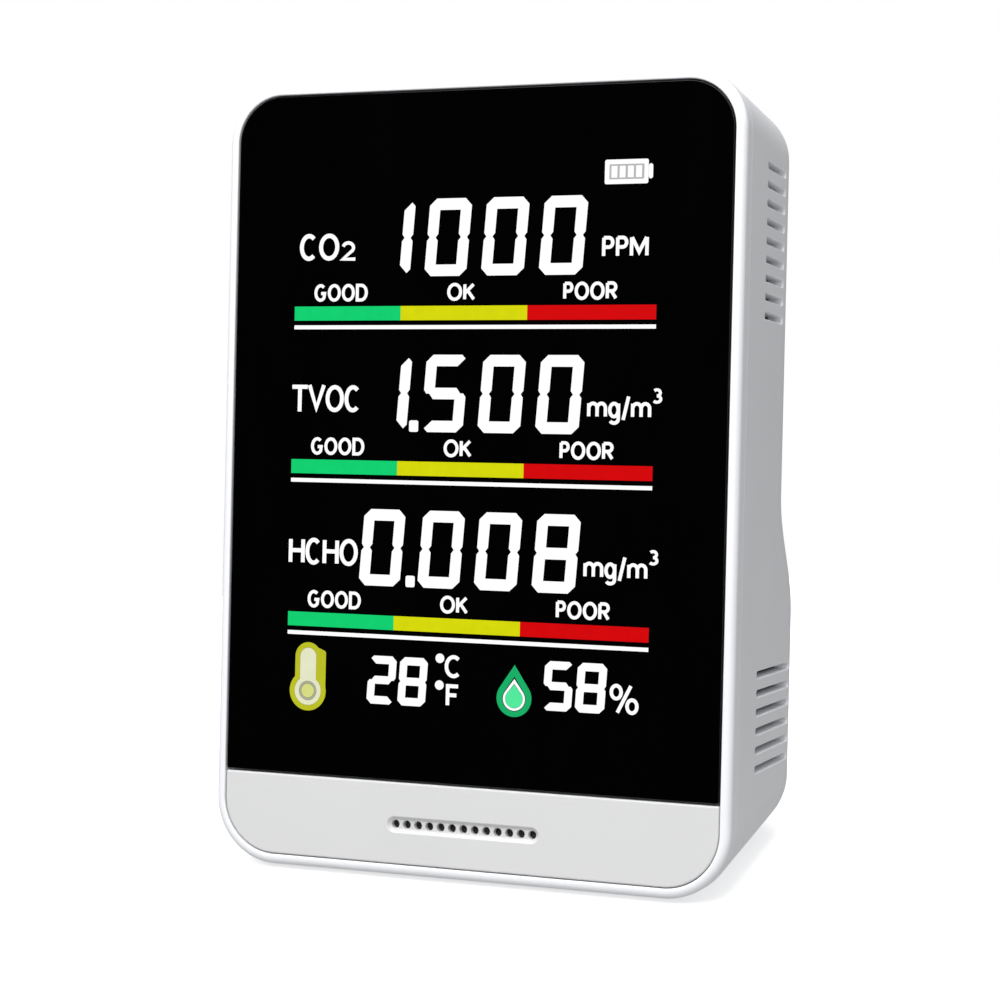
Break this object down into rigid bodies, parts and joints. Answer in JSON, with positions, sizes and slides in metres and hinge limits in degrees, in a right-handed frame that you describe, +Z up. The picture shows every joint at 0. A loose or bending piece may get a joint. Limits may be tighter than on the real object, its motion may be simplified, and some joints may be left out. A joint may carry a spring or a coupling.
{
  "type": "desktop air quality monitor",
  "caption": "Small white desktop air quality monitor that leans back, with a black glass segment display, a grey sound strip, slotted sides and a rear power button.",
  "frame": {"origin": "middle of the rectangle under the standing monitor, on the surface that its rubber feet rest on", "axes": "+Z up, -Y towards the reader in front of the display, +X to the reader's right; the case leans back 8.5 degrees about X"},
  "size_m": [0.072, 0.045, 0.1039],
  "materials": {
    "white_plastic": "moulded white ABS with a low sheen",
    "grey_plastic": "fine matt light grey plastic",
    "black_glass": "gloss glass with a black printed back",
    "display_glass": "dark display glass",
    "clear_acrylic": "clear acrylic",
    "film": "thin white film",
    "circuit_board": "green solder mask",
    "black_plastic": "black moulding compound",
    "steel": "nickel plated steel",
    "gold_plate": "thin gold plating",
    "cell_wrap": "foil wrap of a pouch cell",
    "foam": "adhesive foam",
    "rubber": "soft black rubber",
    "red_plastic": "red insulation",
    "black_wire": "black insulation",
    "lit_white": "lit white display segment",
    "lit_green": "lit green display segment",
    "lit_yellow": "lit yellow display segment",
    "lit_red": "lit red display segment"
  },
  "bodies": {
    "case": {"front_bezel": "white_plastic", "rear_cover": "white_plastic", "display_tray": "white_plastic", "display_connector": "white_plastic", "humidity_sensor": "white_plastic", "formaldehyde_sensor": "white_plastic", "battery_connector": "white_plastic", "power_connector": "white_plastic", "board_connector": "white_plastic", "grille_panel": "grey_plastic", "display_window": "black_glass", "lcd_panel": "display_glass", "light_guide": "clear_acrylic", "colour_film": "film", "reflector_film": "film", "board_cable": "film", "main_board": "circuit_board", "co2_sensor_board": "circuit_board", "power_board": "circuit_board", "backlight_strip": "circuit_board", "dust_mesh": "black_plastic", "microcontroller": "black_plastic", "display_driver": "black_plastic", "buzzer": "black_plastic", "sensor_header": "black_plastic", "charging_chip": "black_plastic", "power_inductor": "black_plastic", "tact_switch": "black_plastic", "usb_c_tongue": "black_plastic", "usb_c_shell": "steel", "clock_crystal": "steel", "tvoc_sensor": "steel", "case_screw_top_left": "steel", "case_screw_top_right": "steel", "case_screw_bottom_left": "steel", "case_screw_bottom_right": "steel", "board_screw_top_left": "steel", "board_screw_top_right": "steel", "board_screw_bottom_left": "steel", "board_screw_bottom_right": "steel", "power_board_screw_left": "steel", "power_board_screw_right": "steel", "co2_sensor_chamber": "gold_plate", "display_ribbon": "gold_plate", "battery_cell": "cell_wrap", "window_tape": "foam", "battery_pad": "foam", "rubber_foot_front_left": "rubber", "rubber_foot_front_right": "rubber", "rubber_foot_rear_left": "rubber", "rubber_foot_rear_right": "rubber", "battery_lead_red": "red_plastic", "battery_lead_black": "black_wire"},
    "button": {"power_button": "white_plastic"},
    "plunger": {"switch_plunger": "red_plastic"}
  },
  "joints": [
    {"name": "power_button_press", "type": "slide", "parent": "case", "child": "button", "axis": [0, -0.989, 0.1478], "range_m": [0, 0.0005], "stiffness_N_per_m": 3000},
    {"name": "switch_plunger_press", "type": "slide", "parent": "case", "child": "plunger", "axis": [0, -0.989, 0.1478], "range_m": [0, 0.0005]}
  ],
  "couplings": [
    {"joint": "switch_plunger_press", "follows": "power_button_press", "ratio": 1}
  ]
}
